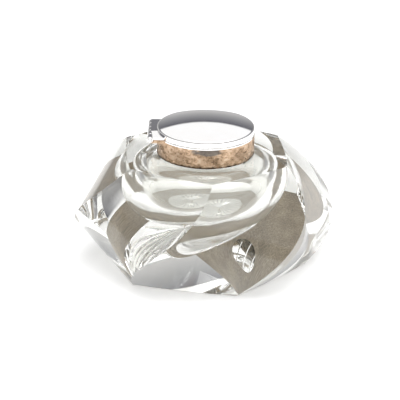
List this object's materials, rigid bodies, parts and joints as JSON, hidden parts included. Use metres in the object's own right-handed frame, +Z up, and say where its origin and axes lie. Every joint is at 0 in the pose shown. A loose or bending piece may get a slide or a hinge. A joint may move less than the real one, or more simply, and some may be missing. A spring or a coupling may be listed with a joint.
{
  "type": "inkwell",
  "caption": "Heavy cut-glass inkwell with six facets winding round a squat body, a silver collar set on its neck and a low domed lid on a side barrel hinge.",
  "frame": {"origin": "centre of the flat hexagonal foot, on the surface the inkwell stands on", "axes": "+Z up along the axis of the well, -X towards the lid's hinge, -Y towards the front"},
  "size_m": [0.1238, 0.1192, 0.0692],
  "materials": {
    "clear_glass": "polished, faintly grey-green lead crystal",
    "plaster": "matt setting plaster",
    "tarnished_silver": "silver with a coppery brown tarnish",
    "polished_silver": "bright polished silver",
    "gilt_lining": "worn silver-gilt"
  },
  "bodies": {
    "base": {"glass_body": "clear_glass", "setting_plaster": "plaster", "collar_band": "tarnished_silver", "mouth_bearer": "polished_silver", "collar_hinge_plate": "tarnished_silver", "collar_knuckle_front": "polished_silver", "collar_knuckle_middle": "polished_silver", "collar_knuckle_rear": "polished_silver", "hinge_pin": "polished_silver"},
    "lid": {"lid_rim": "polished_silver", "lid_dome": "polished_silver", "lid_lining": "gilt_lining", "lid_bezel": "gilt_lining", "lid_hinge_plate": "polished_silver", "lid_knuckle_front": "polished_silver", "lid_knuckle_rear": "polished_silver"}
  },
  "joints": [
    {"name": "lid_hinge", "type": "hinge", "parent": "base", "child": "lid", "pos_m": [-0.026, 0, 0.06265], "axis": [0, -1, 0], "range_deg": [0, 105]}
  ]
}
